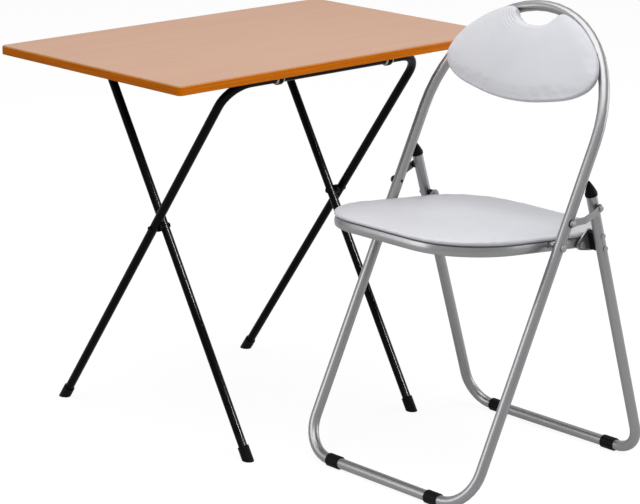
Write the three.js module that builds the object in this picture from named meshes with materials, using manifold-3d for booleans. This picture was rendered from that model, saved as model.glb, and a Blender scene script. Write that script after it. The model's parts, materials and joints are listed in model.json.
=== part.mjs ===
// Folding desk and chair set. The desk has a thin board on two crossed bent-tube frames, and
// the chair has a round-topped tube frame, a hinged padded seat, a rear leg frame and links.
// Millimetres, Z up, floor at zero. X runs along the desk's long edge and Y towards its back.
// The chair stands in front of the desk and faces negative X. Left and right are the user's.
import * as THREE from 'three';
import Module from 'manifold-3d';
import { mergeVertices } from 'three/addons/utils/BufferGeometryUtils.js';

// Desk top
const topLength = 760;
const topWidth = 500;
const topHeight = 700;
const boardThickness = 15.2;
const laminateThickness = 0.7;
const boardCorner = 9;
const boardBevel = 1.6;

// Desk frames: the outer frame's bar is at the front, the inner frame's bar at the back
const deskTube = 8;
const deskBarDrop = 12;
const outerHalf = 227;
const outerBarInset = 55.5;
const outerFootOverhang = 43;
const outerBarY = outerBarInset - topWidth / 2;
const outerFootY = topWidth / 2 + outerFootOverhang;
const innerHalf = 202;
const innerBarInset = 66;
const innerFootInset = 40;
const innerBarY = topWidth / 2 - innerBarInset;
const innerFootY = innerFootInset - topWidth / 2;
const deskBend = 48;
const footWall = 1.9;
const footLength = 27;
const footSole = 9;

// Desk crossing: a bolt through both tubes and a round black spacer between them
const crossBolt = 3;
const crossHead = 5.2;
const crossHeadDepth = 1.6;
const spacerRadius = 8.2;

// Desk hinge straps with pale bushes on the front bar, and open clips for the rear bar
const hingeX = 130;
const hingeShift = 13;
const bushWall = 1.6;
const bushLength = 17;
const strapWall = 1.5;
const strapWidth = 8.5;
const strapTab = 15;
const screwRadius = 1.8;
const screwHead = 3.6;
const screwHeadDepth = 1.5;
const screwBite = 8;
const screwHoleDepth = 9;
const clipX = 118;
const clipWidth = 22;
const clipWall = 4;
const clipFrontReach = 27;
const clipRearDrop = 5;
const clipFrontEdge = 3;
const clipPegSet = 19;

// Chair main frame, in the chair's own axes: X to the sitter's left, Y to the rear
const chairX = -112.2;
const chairY = -459.4;
const chairTube = 9.5;
const sleeveWall = 2;
const sleeveLength = 28;
const mainHalf = 201.7;
const mainLeanRise = 1000;
const mainLeanRun = 497.5;
const mainStraight = 648;
const mainArch = 217;
const mainBend = 66;
const frontSleeveInset = 14.7;
const frontSleeveX = mainHalf - mainBend - frontSleeveInset;
const mainBarY = 0;

// Chair rear frame
const rearOutset = 5.3;
const rearHalf = mainHalf + rearOutset;
const rearBarY = 429.3;
const rearLeanRise = 1000;
const rearLeanRun = 307;
const rearTopGap = 38;
const rearBend = 54;
const rearSleeveInset = 16;
const rearSleeveX = rearHalf - rearBend - rearSleeveInset;
const capLength = 24;
const capSkirt = 4;
const capWall = 1.1;
const capTip = 3;
const capGroove = 0.7;

// Chair pivots: distances up the main and rear tubes, and a point ahead of the rear leg
const seatPivotUp = 463;
const linkPivotUp = 507;
const linkEndUp = 494;
const rearPivotAhead = 24.8;
const rearPivotZ = 414;
const pivotShank = 3;
const pivotHead = 6.2;
const pivotHeadDepth = 2.4;
const pivotShoulder = 5.6;
const pivotNut = 4.4;
const pivotNutDepth = 4;
const pivotNutGap = 3;

// Chair links
const linkHalf = 6.2;
const linkThickness = 2.6;
const linkStep = 8.2;
const linkStepStart = 8;
const linkStepEnd = 22;
const linkSag = 2.2;
const rivetShank = 2.6;
const rivetHead = 5.2;
const rivetHeadDepth = 2.2;
const washerRadius = 7.4;
const washerThickness = 1;

// Chair rear brackets, each a plate held off the rear leg by a black block, with rivets set
// above and below the height of the rear pivot
const bracketThickness = 3;
const bracketUpperRise = 17.5;
const bracketLowerDrop = 5.5;
const bracketNose = 9;
const bracketLobe = 8.5;
const blockHalf = 4.5;
const blockOverhang = 5;
const rearBoltHead = 6;
const rearBoltHeadDepth = 4.4;
const rearBush = 8.2;
const rearBushThickness = 1.7;

// Chair seat, in its own tilted plane: sideways, then distance behind the main pivot
const seatTiltRun = 1000;
const seatTiltDrop = 98;
const panSideGap = 12.2;
const panHalf = mainHalf - chairTube - panSideGap;
const panFront = 221;
const panRear = 188;
const panFrontCut = 124;
const panFrontShoulder = 138;
const panRearCut = 118;
const panRearShoulder = 123;
const panCorner = 56;
const panRimHalf = 9;
const panRise = 2.8;
const panWall = 4;
const panRoof = 1.5;
const padEdge = 10;
const padCrown = 5.5;
const padOverhang = 2;

// Chair back, in the plane of the main frame: sideways, then distance up
const backCentreUp = 762;
const backOutline = [
  [0, 687.5], [44, 690], [90, 698], [126, 707], [153, 720], [168, 734], [174, 752], [168, 774],
  [154, 795], [134, 814], [111, 831], [88, 843], [66, 850.5],
];
const notchOutline = [[53, 849.5], [43, 838], [31, 829.5], [16, 824.8]];
const notchBottom = 823.5;
const backCrestUp = 852;
const boardDepth = 3.6;
const backPadEdge = 9;
const backPadCrown = 8;
const backScrewX = 150;
const backScrewUp = 793;

// Fits and cuts
const clearance = 0.3;
const facing = 0.1;
const overrun = 3;

// Facet counts
const tubeSides = 20;
const chairSides = 20;
const roundSides = 14;
const bendSteps = 9;
const archSteps = 26;
const cornerSteps = 6;

// Shares of the outline and of the height or depth in each ring of a soft form or a rim
const padRingShares = [
  [0.972, 0], [0.992, 0.16], [1, 0.45], [0.992, 0.74], [0.966, 0.95], [0.91, 1],
];
const crownRingShares = [[0.8, 0.34], [0.62, 0.64], [0.42, 0.85], [0.2, 0.97]];
const rimRingShares = [
  [0.984, 1], [0.9935, 0.82], [0.9985, 0.45], [1, 0], [0.9985, -0.45], [0.9935, -0.82], [0.984, -1],
];
const boardOutlineShare = 0.965;
const notchFadeShare = 0.4;
const notchFadePower = 1.5;
const capShares = [[0.93, 0.12], [0.62, 0.55], [0.3, 0.9]];

const wasm = await Module();
wasm.setup();

// A closed geometry as a solid that can be cut and joined.
function solid(geometry) {
  const plain = geometry.clone();
  plain.deleteAttribute('normal');
  plain.deleteAttribute('uv');
  const merged = mergeVertices(plain);
  const mesh = new wasm.Mesh({
    numProp: 3,
    vertProperties: new Float32Array(merged.attributes.position.array),
    triVerts: new Uint32Array(merged.index.array),
  });
  mesh.merge();
  return new wasm.Manifold(mesh);
}

function geometryOf(body) {
  const mesh = body.getMesh();
  const geometry = new THREE.BufferGeometry();
  geometry.setAttribute('position', new THREE.BufferAttribute(mesh.vertProperties, 3));
  geometry.setIndex(new THREE.BufferAttribute(mesh.triVerts, 1));
  return geometry;
}

function cut(geometry, tools) {
  let body = solid(geometry);
  for (const tool of tools) {
    body = body.subtract(solid(tool));
  }
  return geometryOf(body);
}

function join(pieces) {
  let body = solid(pieces[0]);
  for (const piece of pieces.slice(1)) {
    body = body.add(solid(piece));
  }
  return geometryOf(body);
}

function common(first, second) {
  return geometryOf(solid(first).intersect(solid(second)));
}

// A path with its own list of points and directions, so straight runs take few rings.
class PointPath extends THREE.Curve {
  constructor(points, directions) {
    super();
    this.points = points;
    this.directions = directions;
  }

  blend(list, share) {
    const place = share * (list.length - 1);
    const low = Math.min(Math.floor(place), list.length - 2);
    return list[low].clone().lerp(list[low + 1], place - low);
  }

  getPoint(share) {
    return this.blend(this.points, share);
  }

  getPointAt(share) {
    return this.getPoint(share);
  }

  getTangent(share) {
    return this.blend(this.directions, share).normalize();
  }

  getTangentAt(share) {
    return this.getTangent(share);
  }
}

function circleShape(radius, sides) {
  const points = [];
  for (let i = 0; i < sides; i += 1) {
    const angle = (2 * Math.PI * i) / sides;
    points.push(new THREE.Vector2(radius * Math.cos(angle), radius * Math.sin(angle)));
  }
  return new THREE.Shape(points);
}

// A round bar along an open path.
function bentBar(path, radius, sides) {
  return new THREE.ExtrudeGeometry(circleShape(radius, sides), {
    steps: path.points.length - 1,
    extrudePath: path,
    bevelEnabled: false,
  });
}

// A straight round or many-sided bar between two points.
function bar(radius, from, to, sides) {
  const along = to.clone().sub(from);
  const geometry = new THREE.CylinderGeometry(radius, radius, along.length(), sides);
  const turn = new THREE.Quaternion();
  turn.setFromUnitVectors(new THREE.Vector3(0, 1, 0), along.clone().normalize());
  geometry.applyQuaternion(turn);
  const middle = from.clone().lerp(to, 0.5);
  geometry.translate(middle.x, middle.y, middle.z);
  return geometry;
}

// A bar along X at one point of the side view.
function crossBar(radius, y, z, xFrom, xTo, sides) {
  return bar(radius, new THREE.Vector3(xFrom, y, z), new THREE.Vector3(xTo, y, z), sides);
}

function box(xLow, xHigh, yLow, yHigh, zLow, zHigh) {
  const geometry = new THREE.BoxGeometry(xHigh - xLow, yHigh - yLow, zHigh - zLow);
  geometry.translate((xLow + xHigh) / 2, (yLow + yHigh) / 2, (zLow + zHigh) / 2);
  return geometry;
}

// A side-view outline (y, z) drawn out along X.
function slab(points, xLow, xHigh) {
  const shape = new THREE.Shape(points.map(([y, z]) => new THREE.Vector2(y, z)));
  const geometry = new THREE.ExtrudeGeometry(shape, {
    depth: xHigh - xLow,
    bevelEnabled: false,
  });
  const turn = new THREE.Matrix4().makeBasis(
    new THREE.Vector3(0, 1, 0),
    new THREE.Vector3(0, 0, 1),
    new THREE.Vector3(1, 0, 0),
  );
  geometry.applyMatrix4(turn);
  geometry.translate(xLow, 0, 0);
  return geometry;
}

// The outline round a row of circles, each given as y, z and radius.
function hullOf(circles, sides) {
  const cloud = [];
  for (const [y, z, radius] of circles) {
    for (let i = 0; i < sides; i += 1) {
      const angle = (2 * Math.PI * i) / sides;
      cloud.push([y + radius * Math.cos(angle), z + radius * Math.sin(angle)]);
    }
  }
  cloud.sort((a, b) => a[0] - b[0] || a[1] - b[1]);
  const turnOf = (a, b, c) => (b[0] - a[0]) * (c[1] - a[1]) - (b[1] - a[1]) * (c[0] - a[0]);
  const chain = (list) => {
    const out = [];
    for (const point of list) {
      while (out.length > 1 && turnOf(out[out.length - 2], out[out.length - 1], point) <= 0) {
        out.pop();
      }
      out.push(point);
    }
    out.pop();
    return out;
  };
  return chain(cloud).concat(chain(cloud.slice().reverse()));
}

// A closed solid through rings of equal point counts, with a flat or pointed end at each side.
function loft(rings) {
  const count = rings[0].length;
  const positions = [];
  for (const ring of rings) {
    for (const point of ring) {
      positions.push(point.x, point.y, point.z);
    }
  }
  const index = [];
  for (let r = 0; r + 1 < rings.length; r += 1) {
    for (let i = 0; i < count; i += 1) {
      const next = (i + 1) % count;
      const a = r * count + i;
      const b = r * count + next;
      index.push(a, b, b + count, a, b + count, a + count);
    }
  }
  const middle = (ring) => {
    const sum = new THREE.Vector3();
    for (const point of ring) {
      sum.add(point);
    }
    return sum.divideScalar(count);
  };
  const low = middle(rings[0]);
  const high = middle(rings[rings.length - 1]);
  positions.push(low.x, low.y, low.z, high.x, high.y, high.z);
  const lowIndex = rings.length * count;
  const lastRow = (rings.length - 1) * count;
  for (let i = 0; i < count; i += 1) {
    const next = (i + 1) % count;
    index.push(lowIndex, next, i);
    index.push(lowIndex + 1, lastRow + i, lastRow + next);
  }
  const geometry = new THREE.BufferGeometry();
  geometry.setAttribute('position', new THREE.Float32BufferAttribute(positions, 3));
  geometry.setIndex(index);
  return geometry;
}

// A polygon with rounded corners as evenly walked points.
function roundedOutline(corners, reach) {
  const out = [];
  for (let i = 0; i < corners.length; i += 1) {
    const corner = corners[i];
    const before = corners[(i + corners.length - 1) % corners.length];
    const after = corners[(i + 1) % corners.length];
    const backLength = corner.distanceTo(before) / 2;
    const frontLength = corner.distanceTo(after) / 2;
    const backShare = Math.min(reach, backLength) / (2 * backLength);
    const frontShare = Math.min(reach, frontLength) / (2 * frontLength);
    const start = corner.clone().lerp(before, backShare);
    const end = corner.clone().lerp(after, frontShare);
    const curve = new THREE.QuadraticBezierCurve(start, corner, end);
    out.push(...curve.getPoints(cornerSteps));
  }
  return out;
}

const grains = {
  laminate: ['laminate_top', 0xcda68c, 0.55, 0],
  lacquer: ['lacquered_edge', 0xb8640e, 0.32, 0],
  blackPaint: ['black_gloss_tube', 0x0a0a0c, 0.22, 0],
  blackPlastic: ['black_plastic', 0x101012, 0.5, 0],
  nylon: ['pale_nylon', 0xd9d6cc, 0.45, 0],
  zinc: ['zinc_steel', 0xa9abad, 0.35, 1],
  silver: ['silver_tube', 0x97979b, 0.34, 0.6],
  vinyl: ['pale_vinyl', 0xcdcfd4, 0.42, 0],
};
const materials = {};
for (const [key, [name, color, roughness, metalness]] of Object.entries(grains)) {
  materials[key] = new THREE.MeshStandardMaterial({ name, color, roughness, metalness });
}

const set = new THREE.Group();
set.name = 'folding_desk_and_chair_set';

function addPiece(name, geometry, material) {
  const flat = geometry.index ? geometry.toNonIndexed() : geometry.clone();
  flat.computeVertexNormals();
  const mesh = new THREE.Mesh(flat, material);
  mesh.name = name;
  set.add(mesh);
}

// The chair's own axes turned and moved to its place beside the desk.
const chairPlace = new THREE.Matrix4().makeRotationZ(-Math.PI / 2);
chairPlace.setPosition(chairX, chairY, 0);

function addChair(name, geometry, material) {
  addPiece(name, geometry.clone().applyMatrix4(chairPlace), material);
}

const sides = [['left', -1], ['right', 1]];
const chairHands = [['left', 1], ['right', -1]];

// Desk heights and directions that several pieces share
const underside = topHeight - laminateThickness - facing - boardThickness;
const deskBarZ = underside - deskBarDrop;

function legDirection(barY, footY) {
  return new THREE.Vector3(0, footY - barY, -deskBarZ).normalize();
}

const outerDown = legDirection(outerBarY, outerFootY);
const innerDown = legDirection(innerBarY, innerFootY);
const outerLeg = Math.hypot(outerFootY - outerBarY, deskBarZ);
const innerLeg = Math.hypot(innerFootY - innerBarY, deskBarZ);
const spread = outerFootY - outerBarY + innerBarY - innerFootY;
const crossShare = (innerBarY - outerBarY) / spread;
const crossY = outerBarY + crossShare * (outerFootY - outerBarY);
const crossZ = deskBarZ * (1 - crossShare);

// The path of a U: down one side, round a bend, across and back up, in any plane.
function framePath(start, across, down, half, length, bend) {
  const at = (x, d) => start.clone().addScaledVector(across, x).addScaledVector(down, d);
  const points = [at(-half, length)];
  const directions = [down.clone().negate()];
  for (const side of [-1, 1]) {
    for (let i = 0; i <= bendSteps; i += 1) {
      const share = i / bendSteps;
      const turn = side < 0 ? share : 1 - share;
      const angle = (turn * Math.PI) / 2;
      const x = side * (half - bend + bend * Math.cos(angle));
      const d = bend - bend * Math.sin(angle);
      points.push(at(x, d));
      const heading = across.clone().multiplyScalar(Math.sin(angle));
      directions.push(heading.addScaledVector(down, side * Math.cos(angle)));
    }
  }
  points.push(at(half, length));
  directions.push(down.clone());
  return new PointPath(points, directions);
}

function roundedPlate(length, width, corner, thickness, bevel) {
  const x = length / 2;
  const y = width / 2;
  const shape = new THREE.Shape();
  shape.moveTo(corner - x, -y);
  shape.lineTo(x - corner, -y);
  shape.absarc(x - corner, corner - y, corner, -Math.PI / 2, 0);
  shape.lineTo(x, y - corner);
  shape.absarc(x - corner, y - corner, corner, 0, Math.PI / 2);
  shape.lineTo(corner - x, y);
  shape.absarc(corner - x, y - corner, corner, Math.PI / 2, Math.PI);
  shape.lineTo(-x, corner - y);
  shape.absarc(corner - x, corner - y, corner, Math.PI, 1.5 * Math.PI);
  const geometry = new THREE.ExtrudeGeometry(shape, {
    depth: thickness - 2 * bevel,
    bevelEnabled: bevel > 0,
    bevelThickness: bevel,
    bevelSize: bevel,
    bevelOffset: -bevel,
    bevelSegments: 2,
    curveSegments: 7,
  });
  geometry.translate(0, 0, bevel);
  return geometry;
}

// Places of the small screws and pegs under the board, all pointing up
const strapRadius = deskTube + clearance + bushWall + clearance;
const strapScrewOffset = strapRadius + strapWall + strapTab / 2;
const strapScrewYs = [outerBarY - strapScrewOffset, outerBarY + strapScrewOffset];
const clipPegY = innerBarY - clipPegSet;

function screwHole(x, y) {
  const from = new THREE.Vector3(x, y, underside - overrun);
  const to = new THREE.Vector3(x, y, underside + screwHoleDepth);
  return bar(screwRadius + clearance, from, to, roundSides);
}

function deskTop() {
  const holes = [];
  for (const [, sign] of sides) {
    for (const y of strapScrewYs) {
      holes.push(screwHole(hingeShift + sign * hingeX, y));
    }
    holes.push(screwHole(sign * clipX, clipPegY));
  }
  const board = roundedPlate(topLength, topWidth, boardCorner, boardThickness, boardBevel);
  board.translate(0, 0, underside);
  addPiece('desk_top_board', cut(board, holes), materials.lacquer);
  const length = topLength - 2 * boardBevel;
  const width = topWidth - 2 * boardBevel;
  const sheet = roundedPlate(length, width, boardCorner - boardBevel, laminateThickness, 0);
  sheet.translate(0, 0, topHeight - laminateThickness);
  addPiece('desk_top_laminate', sheet, materials.laminate);
}

function crossHole(x) {
  const reach = deskTube + overrun;
  return crossBar(crossBolt + clearance, crossY, crossZ, x - reach, x + reach, roundSides);
}

function deskFrame(name, barY, down, half, leg) {
  const start = new THREE.Vector3(0, barY, deskBarZ);
  const across = new THREE.Vector3(1, 0, 0);
  const path = framePath(start, across, down, half, leg - footSole, deskBend);
  const tube = bentBar(path, deskTube, tubeSides);
  addPiece(name, cut(tube, [crossHole(half), crossHole(-half)]), materials.blackPaint);
}

// A foot cap round the end of a sloping leg, cut level with the floor.
function footCap(x, footY, down) {
  const end = new THREE.Vector3(x, footY, 0);
  const top = end.clone().addScaledVector(down, -footLength);
  const below = end.clone().addScaledVector(down, footLength);
  const shell = bar(deskTube + clearance + footWall, below, top, tubeSides);
  const tubeEnd = end.clone().addScaledVector(down, clearance - footSole);
  const above = top.clone().addScaledVector(down, -overrun);
  const bore = bar(deskTube + clearance, tubeEnd, above, tubeSides);
  const wide = footLength * 2;
  const ground = box(x - wide, x + wide, footY - wide, footY + wide, -wide, 0);
  return cut(shell, [bore, ground]);
}

function deskFeet() {
  for (const [hand, sign] of sides) {
    const outer = footCap(sign * outerHalf, outerFootY, outerDown);
    addPiece(`desk_foot_outer_${hand}`, outer, materials.blackPlastic);
    const inner = footCap(sign * innerHalf, innerFootY, innerDown);
    addPiece(`desk_foot_inner_${hand}`, inner, materials.blackPlastic);
  }
}

function deskCrossing() {
  const innerFace = innerHalf + deskTube + clearance;
  const outerFace = outerHalf - deskTube - clearance;
  const reach = deskTube + clearance + crossHeadDepth;
  const shell = deskTube + clearance;
  for (const [hand, sign] of sides) {
    const ends = [sign * innerFace, sign * outerFace];
    const disc = crossBar(spacerRadius, crossY, crossZ, ends[0], ends[1], tubeSides);
    const hole = crossBolt + clearance;
    const bore = crossBar(hole, crossY, crossZ, 0, sign * outerHalf, roundSides);
    addPiece(`desk_pivot_spacer_${hand}`, cut(disc, [bore]), materials.blackPlastic);
    const inEnd = sign * (innerHalf - reach);
    const outEnd = sign * (outerHalf + reach);
    const inSeat = sign * (innerHalf - shell);
    const outSeat = sign * (outerHalf + shell);
    const bolt = join([
      crossBar(crossBolt, crossY, crossZ, inEnd, outEnd, roundSides),
      crossBar(crossHead, crossY, crossZ, inEnd, inSeat, roundSides),
      crossBar(crossHead, crossY, crossZ, outSeat, outEnd, roundSides),
    ]);
    addPiece(`desk_pivot_bolt_${hand}`, bolt, materials.blackPaint);
  }
}

function screw(x, y, seatZ) {
  const foot = new THREE.Vector3(x, y, seatZ - clearance - screwHeadDepth);
  const seat = new THREE.Vector3(x, y, seatZ - clearance);
  const tip = new THREE.Vector3(x, y, underside + screwBite);
  return join([bar(screwHead, foot, seat, roundSides), bar(screwRadius, foot, tip, roundSides)]);
}

// A strap bent round the bush, with a tab to the front and one to the back.
function strap(x) {
  const xLow = x - strapWidth / 2;
  const xHigh = x + strapWidth / 2;
  const outer = strapRadius + strapWall;
  const seat = underside - facing;
  const tabY = outer + strapTab;
  const tabs = box(xLow, xHigh, outerBarY - tabY, outerBarY + tabY, seat - strapWall, seat);
  const body = join([
    tabs,
    box(xLow, xHigh, outerBarY - outer, outerBarY + outer, deskBarZ, seat - strapWall / 2),
    crossBar(outer, outerBarY, deskBarZ, xLow, xHigh, tubeSides),
  ]);
  const wide = [xLow - overrun, xHigh + overrun];
  const tools = [
    crossBar(strapRadius, outerBarY, deskBarZ, wide[0], wide[1], tubeSides),
    box(wide[0], wide[1], outerBarY - strapRadius, outerBarY + strapRadius, deskBarZ, underside),
  ];
  for (const y of strapScrewYs) {
    tools.push(screwHole(x, y));
  }
  return cut(body, tools);
}

function bush(x) {
  const low = x - bushLength / 2;
  const high = x + bushLength / 2;
  const outer = deskTube + clearance + bushWall;
  const ring = crossBar(outer, outerBarY, deskBarZ, low, high, tubeSides);
  const bore = deskTube + clearance;
  const tool = crossBar(bore, outerBarY, deskBarZ, low - overrun, high + overrun, tubeSides);
  return cut(ring, [tool]);
}

// An open hook for the rear bar, held by a moulded peg. The bar leaves it down and forwards.
function clip(x) {
  const hug = deskTube + clearance;
  const roof = deskBarZ + hug;
  const seat = underside - facing;
  const outline = [
    [innerBarY - clipFrontReach, roof],
    [innerBarY - hug - clipWall, roof],
    [innerBarY - hug - clipWall, deskBarZ + clipFrontEdge],
    [innerBarY - hug, deskBarZ + clipFrontEdge],
    [innerBarY - hug, roof],
    [innerBarY + hug, roof],
    [innerBarY + hug, deskBarZ - clipRearDrop],
    [innerBarY + hug + clipWall, deskBarZ - clipRearDrop],
    [innerBarY + hug + clipWall, seat],
    [innerBarY - clipFrontReach, seat],
  ];
  const body = slab(outline, x - clipWidth / 2, x + clipWidth / 2);
  const pegFrom = new THREE.Vector3(x, clipPegY, (roof + seat) / 2);
  const pegTo = new THREE.Vector3(x, clipPegY, underside + screwBite);
  return join([body, bar(screwRadius, pegFrom, pegTo, roundSides)]);
}

function deskFittings() {
  const tabUnder = underside - facing - strapWall;
  for (const [hand, sign] of sides) {
    const x = hingeShift + sign * hingeX;
    addPiece(`desk_hinge_strap_${hand}`, strap(x), materials.blackPaint);
    addPiece(`desk_hinge_bush_${hand}`, bush(x), materials.nylon);
    addPiece(`desk_bar_clip_${hand}`, clip(sign * clipX), materials.blackPlastic);
    const front = screw(x, strapScrewYs[0], tabUnder);
    addPiece(`desk_hinge_screw_front_${hand}`, front, materials.zinc);
    const back = screw(x, strapScrewYs[1], tabUnder);
    addPiece(`desk_hinge_screw_back_${hand}`, back, materials.zinc);
  }
}

// Chair directions: up the main frame, out of its plane to the rear, and up the rear frame
const floorBarZ = chairTube + clearance + sleeveWall;
const mainUp = new THREE.Vector3(0, mainLeanRun, mainLeanRise).normalize();
const mainBack = new THREE.Vector3(0, mainLeanRise, -mainLeanRun).normalize();
const rearUp = new THREE.Vector3(0, -rearLeanRun, rearLeanRise).normalize();
const mainStart = new THREE.Vector3(0, mainBarY, floorBarZ);
const rearStart = new THREE.Vector3(0, rearBarY, floorBarZ);

function onMain(x, up, back) {
  const point = mainStart.clone().addScaledVector(mainUp, up);
  point.addScaledVector(mainBack, back);
  point.x = x;
  return point;
}

function onRear(x, up) {
  const point = rearStart.clone().addScaledVector(rearUp, up);
  point.x = x;
  return point;
}

function onRearAtZ(z) {
  return onRear(0, (z - floorBarZ) / rearUp.z);
}

// The rear leg stops short of the height at which its line meets the main frame's line.
const leanSum = mainLeanRun / mainLeanRise + rearLeanRun / rearLeanRise;
const rearLength = (rearBarY - mainBarY) / leanSum / rearUp.z - rearTopGap;

const seatPivot = onMain(0, seatPivotUp, 0);
const linkPivot = onMain(0, linkPivotUp, 0);
const linkEnd = onRear(0, linkEndUp);
const rearPivot = onRearAtZ(rearPivotZ);
rearPivot.y -= rearPivotAhead;
const mainOuter = mainHalf + chairTube;
const mainInner = mainHalf - chairTube;
const rearOuter = rearHalf + chairTube;

// One closed loop: floor bar, two bends, two straight sides and a round arch.
function mainLoopPath() {
  const points = [];
  const directions = [];
  const add = (x, up, dx, du) => {
    points.push(onMain(x, up, 0));
    const heading = new THREE.Vector3(dx, 0, 0).addScaledVector(mainUp, du);
    directions.push(heading.normalize());
  };
  const flat = mainHalf - mainBend;
  for (let i = 0; i <= bendSteps; i += 1) {
    const angle = (i / bendSteps) * (Math.PI / 2);
    const x = flat + mainBend * Math.sin(angle);
    add(x, mainBend - mainBend * Math.cos(angle), Math.cos(angle), Math.sin(angle));
  }
  for (let i = 0; i <= archSteps; i += 1) {
    const angle = (i / archSteps) * Math.PI;
    const x = mainHalf * Math.cos(angle);
    const up = mainStraight + mainArch * Math.sin(angle);
    add(x, up, -mainHalf * Math.sin(angle), mainArch * Math.cos(angle));
  }
  for (let i = 0; i <= bendSteps; i += 1) {
    const angle = (i / bendSteps) * (Math.PI / 2);
    const x = -flat - mainBend * Math.cos(angle);
    add(x, mainBend - mainBend * Math.sin(angle), Math.sin(angle), -Math.cos(angle));
  }
  points.push(points[0].clone());
  directions.push(directions[0].clone());
  return new PointPath(points, directions);
}

function sideHole(radius, point, x) {
  const reach = chairTube + overrun;
  return crossBar(radius + clearance, point.y, point.z, x - reach, x + reach, roundSides);
}

function backScrewHole(x) {
  const from = onMain(x, backScrewUp, -chairTube - boardDepth - overrun);
  const to = onMain(x, backScrewUp, chairTube + overrun);
  return bar(rivetShank + clearance, from, to, roundSides);
}

function chairMainFrame() {
  const path = mainLoopPath();
  const steps = path.points.length - 1;
  const loop = new THREE.TubeGeometry(path, steps, chairTube, chairSides, true);
  const tools = [];
  for (const [, sign] of chairHands) {
    tools.push(sideHole(pivotShank, seatPivot, sign * mainHalf));
    tools.push(sideHole(rivetShank, linkPivot, sign * mainHalf));
    tools.push(backScrewHole(sign * backScrewX));
  }
  addChair('chair_main_frame', cut(loop, tools), materials.silver);
}

// A black sleeve round a floor bar, which the chair stands on.
function sleeve(x, y) {
  const low = x - sleeveLength / 2;
  const high = x + sleeveLength / 2;
  const bore = chairTube + clearance;
  const ring = crossBar(bore + sleeveWall, y, floorBarZ, low, high, chairSides);
  const tool = crossBar(bore, y, floorBarZ, low - overrun, high + overrun, chairSides);
  return cut(ring, [tool]);
}

function chairSleeves() {
  for (const [hand, sign] of chairHands) {
    const front = sleeve(sign * frontSleeveX, mainBarY);
    addChair(`chair_front_sleeve_${hand}`, front, materials.blackPlastic);
    const rear = sleeve(sign * rearSleeveX, rearBarY);
    addChair(`chair_rear_sleeve_${hand}`, rear, materials.blackPlastic);
  }
}

const bracketPoints = [
  onRearAtZ(rearPivotZ + bracketUpperRise), onRearAtZ(rearPivotZ - bracketLowerDrop),
];

function chairRearFrame() {
  const across = new THREE.Vector3(1, 0, 0);
  const path = framePath(rearStart, across, rearUp, rearHalf, rearLength, rearBend);
  const tube = bentBar(path, chairTube, chairSides);
  const tools = [];
  for (const [, sign] of chairHands) {
    for (const point of bracketPoints) {
      tools.push(sideHole(rivetShank, point, sign * rearHalf));
    }
  }
  addChair('chair_rear_frame', cut(tube, tools), materials.silver);
}

// A ribbed black cone with a skirt round the end of the rear leg.
function chairRearCaps() {
  const outer = chairTube + clearance + capWall;
  const inner = chairTube + clearance;
  const rise = capLength - capTip;
  const rib = (capSkirt + clearance) / 3;
  const profile = [[0, clearance], [inner, clearance], [inner, -capSkirt], [outer, -capSkirt]];
  profile.push([outer, -2 * rib], [outer - capGroove, -1.5 * rib], [outer, -rib]);
  profile.push([outer, 0]);
  for (const [wide, high] of capShares) {
    profile.push([outer * wide, rise * high]);
  }
  profile.push([capTip / 2, capLength - capTip / 2], [0, capLength]);
  const lathe = new THREE.LatheGeometry(profile.map(([r, h]) => new THREE.Vector2(r, h)), chairSides);
  const turn = new THREE.Quaternion();
  turn.setFromUnitVectors(new THREE.Vector3(0, 1, 0), rearUp);
  lathe.applyQuaternion(turn);
  for (const [hand, sign] of chairHands) {
    const at = onRear(sign * rearHalf, rearLength);
    const cap = lathe.clone().translate(at.x, at.y, at.z);
    addChair(`chair_rear_cap_${hand}`, cap, materials.blackPlastic);
  }
}

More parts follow.
